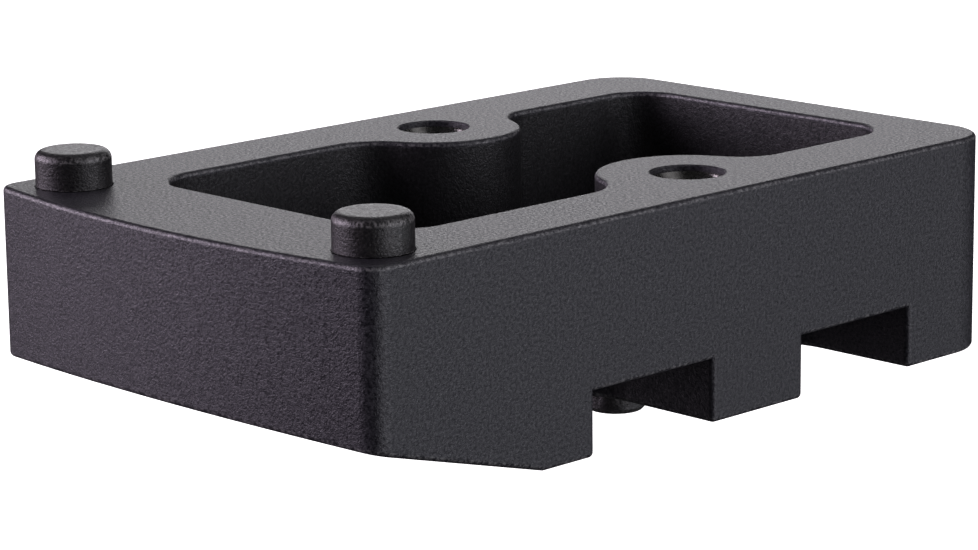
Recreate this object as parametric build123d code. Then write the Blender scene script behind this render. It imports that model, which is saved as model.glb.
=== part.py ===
from build123d import *
import os

# A small machined adapter block. It carries a device on its top face, located by two
# studs at the front and held by two screws in threaded inserts, and it is fastened
# down by one captive screw through the floor of its pocket. Three ribs and four
# notches on the underside key it to whatever it is fastened to.
# Millimetres. +X is the block's right side, -Y its curved front, +Z up.
# The origin is the middle of the seat: the plane on which the three ribs stand.

# Body
WIDTH = 24.0
LENGTH = 38.7              # front corners to rear face
FRONT_BULGE = 1.2          # how far the curved front face stands out at the middle
HEIGHT = 10.0
FRONT_CORNER_R = 1.0
REAR_CORNER_R = 2.6
EDGE_R = 0.22              # broken edges round the top
SEAT_EDGE_R = 0.25         # broken edges round the underside and the notches
FRONT_Y = -LENGTH / 2
REAR_Y = LENGTH / 2

# Underside
RAMP_RISE = 2.5            # the underside slopes up by this much at the front corners
RAMP_LENGTH = 9.2          # from the front corners to the seat
NOTCH_WIDTH = 7.2
NOTCH_PITCH = 13.05
NOTCH_DEPTH = 2.8
NOTCH_REACH = 5.2          # from the side face to the centre of the round end
FIRST_NOTCH_Y = FRONT_Y + 15.7
NOTCH_YS = (FIRST_NOTCH_Y, FIRST_NOTCH_Y + NOTCH_PITCH)

# Pocket, open at the top
POCKET_HALF_WIDTH = 7.97
POCKET_FRONT = FRONT_Y + 5.03
POCKET_REAR = REAR_Y - 2.71
POCKET_CORNER_R = 2.3
POCKET_DEPTH = 6.2
FLOOR_Z = HEIGHT - POCKET_DEPTH
FLOOR_R = 0.5
RIM_R = 0.2

# Bosses and their threaded holes
HOLE_X = 8.0
HOLE_Y = FRONT_Y + 22.05
BOSS_R = 4.03
BOSS_BLEND_FRONT = 2.7
BOSS_BLEND_REAR = 2.2
INSERT_OUTER_R = 1.63
INSERT_INNER_R = 1.25      # minor radius of an M3 thread
INSERT_LENGTH = 4.5
INSERT_SUNK = 0.28         # top of the insert below the top face
MOUTH_R = 1.7
HOLE_DEPTH = 7.1
DRILL_TIP = 0.75

# Locating studs
STUD_X = 9.52
STUD_Y = FRONT_Y + 2.25
STUD_R = 1.65
STUD_HEIGHT = 1.57
STUD_TOP_R = 0.4
STUD_FOOT_R = 0.05
STUD_SHANK_R = 1.45
STUD_SHANK_LENGTH = 4.0
STUD_HOLE_CHAMFER = 0.25   # opens the mouth of the shank's hole to just past the head

# Hold-down screw and its washers
SCREW_Y = FRONT_Y + 25.84
SCREW_R = 1.5              # M3 thread
SCREW_HOLE_R = 1.65
SCREW_HEAD_R = 2.5
SCREW_HEAD_HEIGHT = 1.5
HEAD_EDGE = 0.25
SOCKET_ACROSS_FLATS = 2.0
SOCKET_DEPTH = 0.9
SCREW_END = -2.74          # how far the screw reaches below the seat
SCREW_END_CHAMFER = 0.25
WASHER_HOLE_R = 1.6
PLAIN_WASHER_R = 3.25
PLAIN_WASHER_THICKNESS = 0.5
LOCK_WASHER_R = 2.6
LOCK_WASHER_THICKNESS = 0.7
LOCK_WASHER_GAP = 0.5
LOOSE_GAP = 0.05           # the screw is not tightened, so its stack is loose
LOCK_WASHER_Z = FLOOR_Z + PLAIN_WASHER_THICKNESS + LOOSE_GAP
HEAD_Z = LOCK_WASHER_Z + LOCK_WASHER_THICKNESS + LOOSE_GAP


def disc(radius, bottom, top, x=0.0, y=0.0):
    """Upright cylinder between two heights."""
    solid = Cylinder(radius, top - bottom, align=(Align.CENTER, Align.CENTER, Align.MIN))
    return Pos(x, y, bottom) * solid


def block_outline():
    """Plan of the block: flat sides and rear, and a front that is one shallow arc."""
    half = WIDTH / 2
    front = ThreePointArc((-half, FRONT_Y), (0, FRONT_Y - FRONT_BULGE), (half, FRONT_Y))
    right = Line((half, FRONT_Y), (half, REAR_Y))
    rear = Line((half, REAR_Y), (-half, REAR_Y))
    left = Line((-half, REAR_Y), (-half, FRONT_Y))
    face = make_face(Curve([front, right, rear, left]))
    corners = face.vertices().sort_by(Axis.Y)
    face = fillet(corners[:2], FRONT_CORNER_R)
    corners = [v for v in face.vertices() if v.Y > REAR_Y - 0.01]
    return fillet(corners, REAR_CORNER_R)


def pocket_outline():
    """Plan of the pocket: a rectangle pinched by the two bosses."""
    length = POCKET_REAR - POCKET_FRONT
    middle = (POCKET_REAR + POCKET_FRONT) / 2
    plan = Pos(0, middle) * Rectangle(2 * POCKET_HALF_WIDTH, length)
    for side in (-1, 1):
        plan -= Pos(side * HOLE_X, HOLE_Y) * Circle(BOSS_R)
    reach = BOSS_R + 0.1
    front = [v for v in plan.vertices() if HOLE_Y - reach < v.Y < HOLE_Y]
    plan = fillet(front, BOSS_BLEND_FRONT)
    on_wall = POCKET_HALF_WIDTH - 0.01
    rear = [v for v in plan.vertices() if HOLE_Y < v.Y < HOLE_Y + reach and abs(v.X) > on_wall]
    plan = fillet(rear, BOSS_BLEND_REAR)
    ends = [v for v in plan.vertices() if v.Y < POCKET_FRONT + 0.01 or v.Y > POCKET_REAR - 0.01]
    return fillet(ends, POCKET_CORNER_R)


def notch_tool(side, y):
    """A slot cut in from one side by an end mill, so its inner end is round."""
    centre_x = WIDTH / 2 - NOTCH_REACH
    run = NOTCH_REACH + 1
    plan = Pos(centre_x, y) * Circle(NOTCH_WIDTH / 2)
    plan += Pos(centre_x + run / 2, y) * Rectangle(run, NOTCH_WIDTH)
    plan = plan if side > 0 else mirror(plan, Plane.YZ)
    return Pos(0, 0, -1) * extrude(plan, NOTCH_DEPTH + 1)


def ramp_tool():
    """Wedge that slopes the underside up to the front."""
    run = RAMP_LENGTH + FRONT_BULGE + 1
    rise = RAMP_RISE * run / RAMP_LENGTH
    ridge_y = FRONT_Y + RAMP_LENGTH
    front_y = ridge_y - run
    section = make_face(Polyline((ridge_y, 0), (front_y, rise), (front_y, -1), (ridge_y, -1), close=True))
    return extrude(Plane.YZ * section, WIDTH, both=True)


def funnel(lower_r, upper_r, height, top, x, y):
    """Upright cone that ends at a given height."""
    solid = Cone(lower_r, upper_r, height, align=(Align.CENTER, Align.CENTER, Align.MAX))
    return Pos(x, y, top) * solid


def threaded_hole_tool(x):
    """Drilled hole for an insert, with a slightly opened mouth."""
    bottom = HEIGHT - HOLE_DEPTH
    hole = disc(INSERT_OUTER_R, bottom, HEIGHT, x, HOLE_Y)
    mouth = funnel(INSERT_OUTER_R, MOUTH_R, MOUTH_R - INSERT_OUTER_R, HEIGHT, x, HOLE_Y)
    tip = funnel(0.01, INSERT_OUTER_R, DRILL_TIP, bottom, x, HOLE_Y)
    return hole + mouth + tip


def stud_hole_tool(x):
    """Hole for a stud's shank, with a chamfered mouth."""
    hole = disc(STUD_SHANK_R, HEIGHT - STUD_SHANK_LENGTH, HEIGHT, x, STUD_Y)
    mouth_r = STUD_SHANK_R + STUD_HOLE_CHAMFER
    return hole + funnel(STUD_SHANK_R, mouth_r, STUD_HOLE_CHAMFER, HEIGHT, x, STUD_Y)


def block_body():
    """The machined block with its pocket, notches, ramp and holes."""
    body = extrude(block_outline(), HEIGHT)
    body -= ramp_tool()
    for y in NOTCH_YS:
        for side in (-1, 1):
            body -= notch_tool(side, y)
    body = fillet([e for e in body.edges() if is_lower_edge(e)], SEAT_EDGE_R)
    body = fillet(body.faces().sort_by(Axis.Z)[-1].edges(), EDGE_R)
    pocket = Pos(0, 0, FLOOR_Z) * extrude(pocket_outline(), POCKET_DEPTH)
    pocket = fillet(pocket.faces().sort_by(Axis.Z)[0].edges(), FLOOR_R)
    body -= pocket
    rim = body.faces().sort_by(Axis.Z)[-1].inner_wires()[0].edges()
    body = fillet(rim, RIM_R)
    for side in (-1, 1):
        body -= threaded_hole_tool(side * HOLE_X)
        body -= stud_hole_tool(side * STUD_X)
    body -= disc(SCREW_HOLE_R, -1, FLOOR_Z + 1, 0, SCREW_Y)
    return body


def is_lower_edge(edge):
    """True for the edges of the seat, of the ramp and of the notches' open ends."""
    middle = edge.center()
    ridge_y = FRONT_Y + RAMP_LENGTH
    ramp_z = RAMP_RISE * (ridge_y - middle.Y) / RAMP_LENGTH
    on_seat = abs(middle.Z) < 0.01 and middle.Y > ridge_y + 0.01
    on_ramp = middle.Y < ridge_y - 1 and middle.Z < ramp_z + 0.05
    on_side = abs(abs(middle.X) - WIDTH / 2) < 0.01
    notch_mouth = on_side and 0 < middle.Z < NOTCH_DEPTH + 0.01 and middle.Y > ridge_y
    return on_seat or on_ramp or notch_mouth


def locating_stud(side):
    """Turned stud whose narrower shank is pressed into the block."""
    head = disc(STUD_R, HEIGHT, HEIGHT + STUD_HEIGHT)
    head = fillet(head.edges().sort_by(Axis.Z)[-1], STUD_TOP_R)
    head = fillet(head.faces().sort_by(Axis.Z)[0].edges(), STUD_FOOT_R)
    shank = disc(STUD_SHANK_R, HEIGHT - STUD_SHANK_LENGTH, HEIGHT)
    return Pos(side * STUD_X, STUD_Y) * (head + shank)


def thread_insert(side):
    """Thread insert, a sleeve at the minor radius of its thread."""
    top = HEIGHT - INSERT_SUNK
    outer = disc(INSERT_OUTER_R, top - INSERT_LENGTH, top)
    inner = disc(INSERT_INNER_R, top - INSERT_LENGTH, top)
    return Pos(side * HOLE_X, HOLE_Y) * (outer - inner)


def plain_washer():
    """Flat washer on the floor of the pocket."""
    top = FLOOR_Z + PLAIN_WASHER_THICKNESS
    ring = disc(PLAIN_WASHER_R, FLOOR_Z, top) - disc(WASHER_HOLE_R, FLOOR_Z, top)
    return Pos(0, SCREW_Y) * ring


def lock_washer():
    """Split ring under the screw's head."""
    top = LOCK_WASHER_Z + LOCK_WASHER_THICKNESS
    ring = disc(LOCK_WASHER_R, LOCK_WASHER_Z, top) - disc(WASHER_HOLE_R, LOCK_WASHER_Z, top)
    split = Box(LOCK_WASHER_R + 1, LOCK_WASHER_GAP, 4, align=(Align.MIN, Align.CENTER, Align.CENTER))
    ring -= Pos(0, 0, LOCK_WASHER_Z) * split
    return Pos(0, SCREW_Y) * ring


def hold_down_screw():
    """Low socket-head screw with a chamfered end."""
    head = disc(SCREW_HEAD_R, HEAD_Z, HEAD_Z + SCREW_HEAD_HEIGHT)
    head = chamfer(head.edges().sort_by(Axis.Z)[-1], HEAD_EDGE)
    socket_plan = RegularPolygon(SOCKET_ACROSS_FLATS / 2, 6, major_radius=False)
    socket_floor = HEAD_Z + SCREW_HEAD_HEIGHT - SOCKET_DEPTH
    head -= Pos(0, 0, socket_floor) * extrude(socket_plan, SOCKET_DEPTH)
    shank = disc(SCREW_R, SCREW_END, HEAD_Z)
    shank = chamfer(shank.edges().sort_by(Axis.Z)[0], SCREW_END_CHAMFER)
    return Pos(0, SCREW_Y) * (head + shank)


def export_parts():
    """Write one file for each piece."""
    os.makedirs("parts", exist_ok=True)
    pieces = {
        "block_body": block_body(),
        "locating_stud_left": locating_stud(-1),
        "locating_stud_right": locating_stud(1),
        "thread_insert_left": thread_insert(-1),
        "thread_insert_right": thread_insert(1),
        "plain_washer": plain_washer(),
        "lock_washer": lock_washer(),
        "hold_down_screw": hold_down_screw(),
    }
    for name, piece in pieces.items():
        export_step(piece, f"parts/{name}.step")


export_parts()
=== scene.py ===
"""Looks of a small black anodised adapter block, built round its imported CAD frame.

The scene is in metres, in the frame's own axes: +X right side, -Y curved front, +Z up.
The sizes of the fitted pieces and of the materials' patterns are in millimetres.
"""
import math

import bpy
from mathutils import Matrix, Vector


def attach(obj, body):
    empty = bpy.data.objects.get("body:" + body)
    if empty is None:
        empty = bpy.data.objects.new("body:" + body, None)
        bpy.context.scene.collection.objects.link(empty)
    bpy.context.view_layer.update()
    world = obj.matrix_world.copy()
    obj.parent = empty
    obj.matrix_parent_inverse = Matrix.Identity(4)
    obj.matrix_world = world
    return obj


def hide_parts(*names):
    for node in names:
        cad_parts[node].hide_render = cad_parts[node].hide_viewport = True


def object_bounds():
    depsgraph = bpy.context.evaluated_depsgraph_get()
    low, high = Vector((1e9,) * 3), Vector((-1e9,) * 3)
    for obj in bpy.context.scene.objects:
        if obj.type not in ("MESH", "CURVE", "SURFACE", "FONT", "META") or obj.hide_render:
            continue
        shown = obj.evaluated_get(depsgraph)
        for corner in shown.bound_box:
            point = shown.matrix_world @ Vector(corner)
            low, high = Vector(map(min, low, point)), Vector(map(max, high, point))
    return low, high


MM = 0.001

# Where the photographer stood
CAMERA_AZIMUTH = 45.89
CAMERA_ELEVATION = 12.845
CAMERA_ROLL = -0.682
CAMERA_DISTANCE = 143.66 * MM
CAMERA_TARGET = Vector((12.0, -5.65, 6.85)) * MM
CAMERA_OFFSET = (-5.44 * MM, 0.643 * MM)
FOCAL_LENGTH = 128.84      # millimetres, as is the sensor's width
SENSOR_WIDTH = 36.0

# Fitted pieces, in millimetres
SEGMENTS = 72
CREASE_ANGLE = 35
THREAD_ROWS = 8            # mesh rows to each turn of thread
PITCH = 0.5
FLANK_SLOPE = 1.3          # over 1, so that crests and roots are flat
ROOT_SHARE = 0.15
M3_MAJOR_R = 1.5
M3_MINOR_R = 1.25
M3_CORE_R = 1.2
HOLE_X = 8.0
HOLE_Y = 2.7
INSERT_TOP = 9.72
INSERT_LENGTH = 4.5
INSERT_R = 1.63
INSERT_SKIRT = 0.05        # from the sleeve's outer wall to its lowest thread
LEAD_IN_R = 1.58
SCREW_Y = 6.49
SCREW_END = -2.74
END_CHAMFER = 0.25
SKIN_GAP = 0.02            # how far a surface stays inside its CAD solid
POINT_LENGTH = 0.9         # smooth end of the screw
THREAD_START = 0.05        # above the smooth end
HEAD_BOTTOM = 5.1
HEAD_HEIGHT = 1.5
HEAD_R = 2.5
HEAD_FOOT_CHAMFER = 0.15
HEAD_TOP_CHAMFER = 0.25
HEAD_RIM = 0.12            # plain rim below the knurling
KNURLS = 36
KNURL_DEPTH = 0.07
KNURL_START = 0.2          # above the head's underside
KNURL_END = 0.4            # below the head's top
SHOULDER = 0.3             # and where it turns plain again
CROWN = 0.2                # and where it starts to narrow
SOCKET_R = 1.0
SOCKET_MOUTH_R = 1.25
SOCKET_CHAMFER = 0.14
SOCKET_DEPTH = 0.9
FLOOR_Z = 3.8
WASHER_HOLE_R = 1.6
PLAIN_WASHER_R = 3.25
PLAIN_WASHER_THICKNESS = 0.5
PLAIN_WASHER_EDGE = 0.07
LOCK_WASHER_R = 2.6
LOCK_WASHER_BOTTOM = 4.35
LOCK_WASHER_THICKNESS = 0.7
LOCK_WASHER_EDGE = 0.06
LOCK_WASHER_GAP = 0.5
LOCK_WASHER_TWIST = 0.12

# Painted shade inside the pocket: within this box the black is deeper and reflections weaker. In
# millimetres
SHADED_POCKET_BOX = ((-8.2, -14.6, 3.0), (8.2, 16.9, 9.7))
BOX_FADE = 0.1

# The studio: name, azimuth, elevation, size, radiance and colour of each soft box
FLOOR_DROP = 16 * MM
FLOOR_SIZE = 3.0
FLOOR_GLOW = 1.1
AMBIENT = 0.03
CARD_DISTANCE = 0.5
SQUARE_BOX = (0.26, 0.26)
OVERHEAD_BOX = (0.35, 0.3)
WARM = (1.0, 0.86, 1.0)
COOL = (0.93, 0.98, 1.0)
NEUTRAL = (0.99, 0.97, 1.0)
CARDS = [
    ("left_rear", -60.5, 15, SQUARE_BOX, 6.8, WARM),
    ("left_front", -30.5, 15, SQUARE_BOX, 6.0, WARM),
    ("left_low", -60.5, -15, SQUARE_BOX, 0.5, WARM),
    ("right_front", 89.5, 15, SQUARE_BOX, 2.3, NEUTRAL),
    ("right_rear", 119.5, 15, SQUARE_BOX, 3.8, NEUTRAL),
    ("right_low_front", 89.5, -15, SQUARE_BOX, 1.4, NEUTRAL),
    ("right_low", 119.5, -15, SQUARE_BOX, 0.8, COOL),
    ("right_low_rear", 149.5, -15, SQUARE_BOX, 0.31, COOL),
    ("overhead_right", 134.5, 55, OVERHEAD_BOX, 0.66, NEUTRAL),
    ("overhead_rear", 224.5, 55, OVERHEAD_BOX, 0.58, NEUTRAL),
    ("backdrop", 224.5, 10, SQUARE_BOX, 2.0, NEUTRAL),
]


def view_basis():
    """Unit vectors from the block to the camera, to its right and up."""
    azimuth = math.radians(CAMERA_AZIMUTH)
    elevation = math.radians(CAMERA_ELEVATION)
    back = Vector((
        math.sin(azimuth) * math.cos(elevation),
        -math.cos(azimuth) * math.cos(elevation),
        math.sin(elevation),
    ))
    right = Vector((math.cos(azimuth), math.sin(azimuth), 0.0))
    return back, right, back.cross(right)


def make_camera():
    """A long lens at the photograph's angle."""
    back, right, up = view_basis()
    data = bpy.data.cameras.new("camera")
    data.lens = FOCAL_LENGTH
    data.sensor_width = SENSOR_WIDTH
    data.clip_start = 0.01
    data.clip_end = 20.0
    camera = bpy.data.objects.new("camera", data)
    bpy.context.scene.collection.objects.link(camera)
    camera.location = (CAMERA_TARGET + back * CAMERA_DISTANCE
                       + right * CAMERA_OFFSET[0] + up * CAMERA_OFFSET[1])
    roll = Matrix.Rotation(math.radians(CAMERA_ROLL), 4, "Z").to_quaternion()
    camera.rotation_mode = "QUATERNION"
    camera.rotation_quaternion = (-back).to_track_quat("-Z", "Y") @ roll
    bpy.context.scene.camera = camera


def light_card(name, azimuth, elevation, size, radiance, colour):
    """Rectangular soft box aimed at the block. Azimuth 0 is the block's front, 90 its right side."""
    data = bpy.data.lights.new(name, "AREA")
    data.shape = "RECTANGLE"
    data.size, data.size_y = size
    data.energy = radiance * math.pi * size[0] * size[1]
    data.color = colour
    card = bpy.data.objects.new(name, data)
    bpy.context.scene.collection.objects.link(card)
    turn, tilt = math.radians(azimuth), math.radians(elevation)
    towards = Vector((
        math.sin(turn) * math.cos(tilt),
        -math.cos(turn) * math.cos(tilt),
        math.sin(tilt),
    ))
    card.location = towards * CARD_DISTANCE
    card.rotation_mode = "QUATERNION"
    card.rotation_quaternion = towards.to_track_quat("Z", "Y")


def make_floor(lowest):
    """Pale table, lit evenly from within and kept out of the block's reflections."""
    half = FLOOR_SIZE / 2
    z = lowest - FLOOR_DROP
    corners = [(-half, -half, z), (half, -half, z), (half, half, z), (-half, half, z)]
    mesh = bpy.data.meshes.new("floor")
    mesh.from_pydata(corners, [], [(0, 1, 2, 3)])
    floor = bpy.data.objects.new("floor", mesh)
    bpy.context.scene.collection.objects.link(floor)
    material = bpy.data.materials.new("floor_white")
    material.use_nodes = True
    shader = material.node_tree.nodes["Principled BSDF"]
    shader.inputs["Base Color"].default_value = (0.9, 0.9, 0.9, 1)
    shader.inputs["Roughness"].default_value = 0.9
    shader.inputs["Specular IOR Level"].default_value = 0.0
    shader.inputs["Emission Color"].default_value = (1, 1, 1, 1)
    shader.inputs["Emission Strength"].default_value = FLOOR_GLOW
    mesh.materials.append(material)
    floor.visible_diffuse = False
    floor.visible_glossy = False
    floor.visible_shadow = False


def make_studio(lowest):
    """White table, dim surroundings and soft boxes."""
    make_floor(lowest)
    world = bpy.data.worlds.new("studio")
    bpy.context.scene.world = world
    world.use_nodes = True
    background = world.node_tree.nodes["Background"]
    background.inputs["Color"].default_value = (1, 1, 1, 1)
    background.inputs["Strength"].default_value = AMBIENT
    for card in CARDS:
        light_card(*card)


def ring(radius, height, centre):
    """One loop of points round an upright axis. Radius and height are functions of the angle."""
    points = []
    for i in range(SEGMENTS):
        angle = 2 * math.pi * i / SEGMENTS
        r = radius(angle)
        points.append((
            centre[0] + r * math.cos(angle),
            centre[1] + r * math.sin(angle),
            height(angle),
        ))
    return points


def flat_ring(radius, height, centre):
    """A plain circle at one height."""
    return ring(lambda angle: radius, lambda angle: height, centre)


def skin(name, rings, closed):
    """Mesh object through a stack of rings: joined end to end when closed, else capped at both ends."""
    count = len(rings[0])
    points = [Vector(point) * MM for loop in rings for point in loop]
    faces = []
    steps = len(rings) if closed else len(rings) - 1
    for row in range(steps):
        low = row * count
        high = (row + 1) % len(rings) * count
        for i in range(count):
            j = (i + 1) % count
            faces.append((low + i, low + j, high + j, high + i))
    if not closed:
        faces.append(tuple(reversed(range(count))))
        last = (len(rings) - 1) * count
        faces.append(tuple(range(last, last + count)))
    mesh = bpy.data.meshes.new(name)
    mesh.from_pydata(points, [], faces)
    mesh.validate()
    mesh.shade_smooth()
    mesh.set_sharp_from_angle(angle=math.radians(CREASE_ANGLE))
    piece = bpy.data.objects.new(name, mesh)
    bpy.context.scene.collection.objects.link(piece)
    return piece


def thread_radius(angle, height, minor, major):
    """Radius of a right-hand M3 thread at one angle and height."""
    phase = (height / PITCH - angle / (2 * math.pi)) % 1.0
    rise = 1 - abs(2 * phase - 1)
    return minor + (major - minor) * min(max(FLANK_SLOPE * rise - ROOT_SHARE, 0), 1)


def heights(bottom, top):
    """Even heights, THREAD_ROWS of them for each turn of thread."""
    count = round((top - bottom) / PITCH * THREAD_ROWS)
    return [bottom + (top - bottom) * i / count for i in range(count + 1)]


def thread_insert(side, material):
    """Steel sleeve with a real internal thread and a lead-in at its top."""
    centre = (side * HOLE_X, HOLE_Y)
    bottom, top = INSERT_TOP - INSERT_LENGTH, INSERT_TOP
    rings = [flat_ring(INSERT_R, bottom + INSERT_SKIRT, centre), flat_ring(INSERT_R, top, centre)]
    rings.append(flat_ring(LEAD_IN_R, top, centre))
    for z in reversed(heights(bottom, top)):
        lead_in = LEAD_IN_R - (top - z)
        rings.append(ring(
            lambda angle: max(thread_radius(angle, z, M3_MAJOR_R, M3_MINOR_R), lead_in),
            lambda angle: z,
            centre,
        ))
    name = "left" if side < 0 else "right"
    piece = skin(f"threaded_insert_{name}", rings, closed=True)
    piece.data.materials.append(material)
    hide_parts(f"thread_insert_{name}")
    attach(piece, "block")


def hexagon_radius(angle):
    """Outline of the screw's socket."""
    sector = (angle + math.pi / 6) % (math.pi / 3) - math.pi / 6
    return SOCKET_R / math.cos(sector)


def knurl_radius(angle):
    """Outline of the screw's knurled head."""
    groove = 0.5 - 0.5 * math.cos(KNURLS * angle)
    return HEAD_R - KNURL_DEPTH * groove ** 3


def hold_down_screw(material):
    """Low-head screw with a thread, a knurled head and a hexagon socket."""
    centre = (0, SCREW_Y)
    head_top = HEAD_BOTTOM + HEAD_HEIGHT
    point_top = SCREW_END + POINT_LENGTH
    point = [
        (M3_MAJOR_R - END_CHAMFER, SCREW_END),
        (M3_MAJOR_R - SKIN_GAP, SCREW_END + END_CHAMFER),
        (M3_MAJOR_R - SKIN_GAP, point_top),
    ]
    rings = [flat_ring(r, z, centre) for r, z in point]
    for z in heights(point_top + THREAD_START, HEAD_BOTTOM):
        rings.append(ring(
            lambda angle: thread_radius(angle, z, M3_CORE_R, M3_MAJOR_R),
            lambda angle: z,
            centre,
        ))
    foot = [(HEAD_R - HEAD_FOOT_CHAMFER, HEAD_BOTTOM), (HEAD_R - SKIN_GAP, HEAD_BOTTOM + HEAD_RIM)]
    rings += [flat_ring(r, z, centre) for r, z in foot]
    for z in (HEAD_BOTTOM + KNURL_START, head_top - KNURL_END):
        rings.append(ring(knurl_radius, lambda angle: z, centre))
    crown = [
        (HEAD_R - SKIN_GAP, head_top - SHOULDER),
        (HEAD_R - 2 * SKIN_GAP, head_top - CROWN),
        (HEAD_R - HEAD_TOP_CHAMFER, head_top),
        (SOCKET_MOUTH_R, head_top),
    ]
    rings += [flat_ring(r, z, centre) for r, z in crown]
    for z in (head_top - SOCKET_CHAMFER, head_top - SOCKET_DEPTH):
        rings.append(ring(hexagon_radius, lambda angle: z, centre))
    piece = skin("socket_screw", rings, closed=False)
    piece.data.materials.append(material)
    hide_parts("hold_down_screw")
    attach(piece, "screw")


def section(inner, outer, bottom, top, edge):
    """Corner points of a ring's cross-section with its edges broken."""
    return [
        (inner, bottom + edge), (inner, top - edge),
        (inner + edge, top), (outer - edge, top),
        (outer, top - edge), (outer, bottom + edge),
        (outer - edge, bottom), (inner + edge, bottom),
    ]


def plain_washer(material):
    """Stamped washer with broken edges."""
    centre = (0, SCREW_Y)
    bottom, top = FLOOR_Z, FLOOR_Z + PLAIN_WASHER_THICKNESS
    corners = section(WASHER_HOLE_R, PLAIN_WASHER_R, bottom, top, PLAIN_WASHER_EDGE)
    piece = skin("stamped_washer", [flat_ring(r, z, centre) for r, z in corners], closed=True)
    piece.data.materials.append(material)
    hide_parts("plain_washer")
    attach(piece, "block")


def lock_washer(material):
    """Split spring ring, its two ends sprung a little apart."""
    half_gap = LOCK_WASHER_GAP / 2 / LOCK_WASHER_R
    thickness = LOCK_WASHER_THICKNESS - LOCK_WASHER_TWIST
    loops = []
    for i in range(SEGMENTS + 1):
        share = i / SEGMENTS
        angle = half_gap + (2 * math.pi - 2 * half_gap) * share
        bottom = LOCK_WASHER_BOTTOM + LOCK_WASHER_TWIST * share
        top = bottom + thickness
        corners = section(WASHER_HOLE_R, LOCK_WASHER_R, bottom, top, LOCK_WASHER_EDGE)
        loops.append([
            (r * math.cos(angle), SCREW_Y + r * math.sin(angle), z) for r, z in corners
        ])
    piece = skin("split_washer", loops, closed=False)
    piece.data.materials.append(material)
    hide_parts("lock_washer")
    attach(piece, "spring_washer")


class Weave:
    """A material being built: its nodes, links and main shader."""

    def __init__(self, name):
        self.material = bpy.data.materials.new(name)
        self.material.use_nodes = True
        tree = self.material.node_tree
        self.nodes, self.links = tree.nodes, tree.links
        self.shader = self.nodes["Principled BSDF"]
        coordinates = self.nodes.new("ShaderNodeTexCoord")
        scaled = self.nodes.new("ShaderNodeVectorMath")
        scaled.operation = "SCALE"
        scaled.inputs["Scale"].default_value = 1 / MM
        self.links.new(coordinates.outputs["Object"], scaled.inputs[0])
        self.millimetres = scaled.outputs["Vector"]

    def noise(self, per_mm, detail=2.0, stretch=None):
        """Noise with so many features to the millimetre, from 0 to 1."""
        node = self.nodes.new("ShaderNodeTexNoise")
        node.inputs["Scale"].default_value = per_mm
        node.inputs["Detail"].default_value = detail
        node.inputs["Roughness"].default_value = 0.6
        vector = self.millimetres
        if stretch:
            mapping = self.nodes.new("ShaderNodeMapping")
            mapping.inputs["Scale"].default_value = stretch
            self.links.new(vector, mapping.inputs["Vector"])
            vector = mapping.outputs["Vector"]
        self.links.new(vector, node.inputs["Vector"])
        return node.outputs["Fac"]

    def specks(self, per_mm, size):
        """Sparse dots, 1 inside and 0 outside."""
        node = self.nodes.new("ShaderNodeTexVoronoi")
        node.inputs["Scale"].default_value = per_mm
        self.links.new(self.millimetres, node.inputs["Vector"])
        return self.remap(node.outputs["Distance"], size, size * 0.6, 0, 1)

    def remap(self, value, low, high, new_low, new_high):
        """Value moved from one range to another and clamped."""
        node = self.nodes.new("ShaderNodeMapRange")
        node.inputs["From Min"].default_value = low
        node.inputs["From Max"].default_value = high
        node.inputs["To Min"].default_value = new_low
        node.inputs["To Max"].default_value = new_high
        self.links.new(value, node.inputs["Value"])
        return node.outputs["Result"]

    def multiply(self, first, second):
        """Product of two values."""
        node = self.nodes.new("ShaderNodeMath")
        node.operation = "MULTIPLY"
        self.links.new(first, node.inputs[0])
        self.links.new(second, node.inputs[1])
        return node.outputs["Value"]

    def blend(self, share, first, second):
        """Colour between two colours. Each is a colour or another node's output."""
        node = self.nodes.new("ShaderNodeMix")
        node.data_type = "RGBA"
        self.links.new(share, node.inputs["Factor"])
        for socket, colour in ((node.inputs[6], first), (node.inputs[7], second)):
            if isinstance(colour, tuple):
                socket.default_value = (*colour, 1)
            else:
                self.links.new(colour, socket)
        return node.outputs[2]

    def inside(self, low, high):
        """1 inside an upright box given in millimetres and 0 outside it."""
        split = self.nodes.new("ShaderNodeSeparateXYZ")
        self.links.new(self.millimetres, split.inputs["Vector"])
        bands = []
        for axis, start, end in zip("XYZ", low, high):
            value = split.outputs[axis]
            above = self.remap(value, start - BOX_FADE, start, 0, 1)
            below = self.remap(value, end, end + BOX_FADE, 1, 0)
            bands.append(self.multiply(above, below))
        return self.multiply(self.multiply(bands[0], bands[1]), bands[2])

    def edges(self):
        """1 on broken horizontal edges and 0 on flat faces, from how far the surface leans."""
        geometry = self.nodes.new("ShaderNodeNewGeometry")
        split = self.nodes.new("ShaderNodeSeparateXYZ")
        self.links.new(geometry.outputs["Normal"], split.inputs["Vector"])
        lean = self.nodes.new("ShaderNodeMath")
        lean.operation = "ABSOLUTE"
        self.links.new(split.outputs["Z"], lean.inputs[0])
        rising = self.remap(lean.outputs["Value"], 0.06, 0.2, 0, 1)
        falling = self.remap(lean.outputs["Value"], 0.55, 0.8, 1, 0)
        return self.multiply(rising, falling)

    def bump(self, height, depth, under=None):
        """Surface relief of a given depth in millimetres."""
        node = self.nodes.new("ShaderNodeBump")
        node.inputs["Strength"].default_value = 1.0
        node.inputs["Distance"].default_value = depth * MM
        self.links.new(height, node.inputs["Height"])
        if under:
            self.links.new(under, node.inputs["Normal"])
        return node.outputs["Normal"]

    def set(self, socket, source):
        """Feed one input of the main shader."""
        self.links.new(source, self.shader.inputs[socket])


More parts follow.
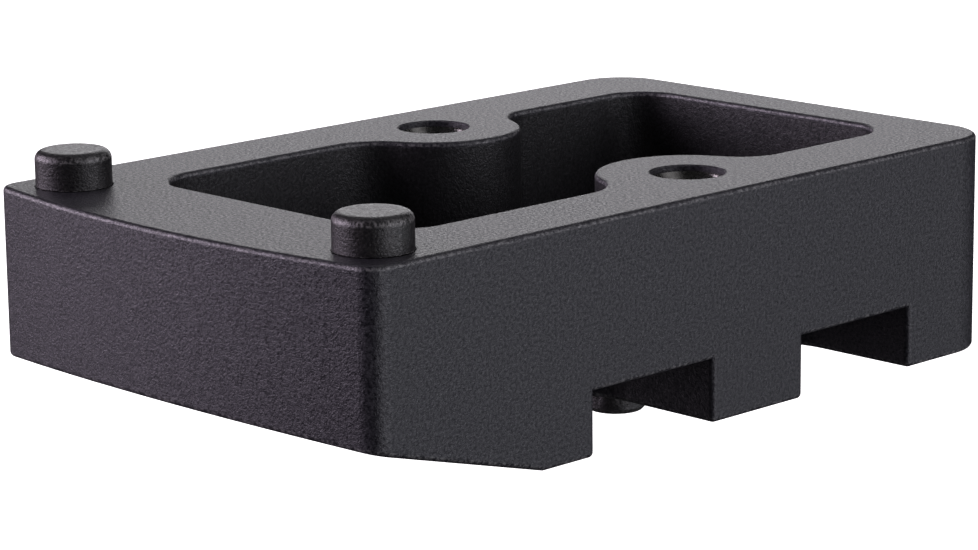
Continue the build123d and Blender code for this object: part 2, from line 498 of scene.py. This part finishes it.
def anodised_black():
    """Bead-blasted aluminium, hard anodised black, with a lighter colour painted on its broken edges:
    part wear, part painted highlight of the light catching them.
    """
    made = Weave("anodised_black")
    made.shader.inputs["IOR"].default_value = 1.5
    made.shader.inputs["Specular Tint"].default_value = (0.93, 0.93, 1.0, 1)
    grain = made.remap(made.noise(8.0), 0.38, 0.62, 0, 1)
    cloud = made.noise(0.12, detail=1.0)
    pits, peaks, mean = (0.003, 0.0028, 0.0056), (0.027, 0.0258, 0.0335), (0.0145, 0.0135, 0.0175)
    colour = made.blend(grain, pits, peaks)
    colour = made.blend(made.remap(cloud, 0, 1, 0, 0.5), colour, mean)
    # Lighter colour on the broken horizontal edges: part wear, part painted highlight of the light line
    # on their rounding.
    wear_and_edge_highlight = made.multiply(made.edges(), made.remap(made.noise(5.0, detail=3.0), 0.44, 0.64, 0, 1))
    rubbed_and_highlight = (0.12, 0.117, 0.125)
    colour = made.blend(wear_and_edge_highlight, colour, rubbed_and_highlight)
    # Painted glints: sparse bright specks in the colour stand in for light glinting off the grain.
    painted_glints = made.multiply(made.specks(7.0, 0.2), made.remap(made.noise(2.3), 0.48, 0.6, 0, 1))
    # Colours of the painted glints and of the painted shade in the pocket.
    painted_glint_colour, pocket_shade_colour = (0.075, 0.075, 0.085), (0.0108, 0.0105, 0.0118)
    colour = made.blend(painted_glints, colour, painted_glint_colour)
    # Painted shade: inside the pocket the colour turns to a deeper black and the reflections weaken.
    pocket_shade = made.inside(*SHADED_POCKET_BOX)
    made.set("Base Color", made.blend(pocket_shade, colour, pocket_shade_colour))
    gloss = made.remap(made.noise(7.0), 0.36, 0.64, 0.31, 0.69)
    made.set("Specular IOR Level", made.multiply(gloss, made.remap(pocket_shade, 0, 1, 1, 0.74)))
    made.set("Roughness", made.remap(made.noise(8.0), 0.36, 0.64, 0.33, 0.55))
    fine = made.bump(made.noise(14.0, detail=1.0), 0.01)
    made.set("Normal", made.bump(made.noise(7.0), 0.02, under=fine))
    return made.material


def turned_black():
    """Black-oxide steel of the studs and screw, with faint brown in its bloom."""
    made = Weave("turned_black")
    made.shader.inputs["IOR"].default_value = 1.5
    made.shader.inputs["Specular Tint"].default_value = (0.95, 0.94, 1.0, 1)
    grain = made.remap(made.noise(9.0, detail=3.0), 0.34, 0.66, 0, 1)
    colour = made.blend(grain, (0.0035, 0.0033, 0.0048), (0.019, 0.0175, 0.0175))
    # Lighter colour on the top edges: part wear, part painted highlight of the light line on their
    # rounding.
    wear_and_edge_highlight = made.multiply(made.edges(), made.remap(made.noise(7.0), 0.42, 0.62, 0, 1))
    colour = made.blend(wear_and_edge_highlight, colour, (0.13, 0.125, 0.13))
    made.set("Base Color", colour)
    made.set("Specular IOR Level", made.remap(made.noise(10.0), 0.34, 0.66, 0.34, 0.66))
    made.set("Roughness", made.remap(made.noise(8.0), 0.34, 0.66, 0.32, 0.48))
    lines = made.bump(made.noise(2.0, stretch=(1, 1, 9)), 0.006)
    made.set("Normal", made.bump(made.noise(9.0), 0.026, under=lines))
    return made.material


def insert_steel():
    """Bright steel of the thread inserts, oiled and a little stained."""
    made = Weave("insert_steel")
    made.shader.inputs["Metallic"].default_value = 1.0
    stain = made.noise(2.5, detail=3.0)
    made.set("Base Color", made.blend(stain, (0.05, 0.049, 0.048), (0.26, 0.255, 0.25)))
    made.set("Roughness", made.remap(made.noise(9.0), 0.3, 0.7, 0.18, 0.38))
    made.set("Normal", made.bump(made.noise(12.0), 0.004))
    return made.material


def washer_steel():
    """Washers' black oxide, rubbed through along the edges."""
    made = Weave("washer_steel")
    made.shader.inputs["Metallic"].default_value = 1.0
    grain = made.noise(5.0, detail=3.0)
    colour = made.blend(grain, (0.035, 0.035, 0.036), (0.09, 0.088, 0.086))
    wear_and_edge_highlight = made.multiply(made.edges(), made.remap(made.noise(3.0), 0.4, 0.65, 0, 1))
    colour = made.blend(wear_and_edge_highlight, colour, (0.35, 0.34, 0.33))
    made.set("Base Color", colour)
    made.set("Roughness", made.remap(made.noise(3.0), 0.3, 0.7, 0.3, 0.5))
    made.set("Normal", made.bump(made.noise(9.0), 0.008))
    return made.material


def dress(node, material):
    """Give a CAD node this material on all its faces."""
    if not node.material_slots:
        node.data.materials.append(material)
    for slot in node.material_slots:
        slot.material = material


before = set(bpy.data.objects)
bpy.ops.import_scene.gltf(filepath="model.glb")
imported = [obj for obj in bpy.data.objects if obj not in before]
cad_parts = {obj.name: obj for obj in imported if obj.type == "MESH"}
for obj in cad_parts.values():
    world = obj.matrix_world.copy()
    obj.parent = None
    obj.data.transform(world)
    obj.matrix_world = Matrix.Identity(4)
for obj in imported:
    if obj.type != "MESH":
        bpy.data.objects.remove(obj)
cad_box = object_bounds()
make_camera()
make_studio(cad_box[0].z)
bpy.context.scene.view_settings.view_transform = "Standard"

dress(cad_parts["block_body"], anodised_black())
steel = turned_black()
for stud in ("locating_stud_left", "locating_stud_right"):
    dress(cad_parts[stud], steel)
insert_metal = insert_steel()
for side in (-1, 1):
    thread_insert(side, insert_metal)
hold_down_screw(steel)
washer_metal = washer_steel()
plain_washer(washer_metal)
lock_washer(washer_metal)
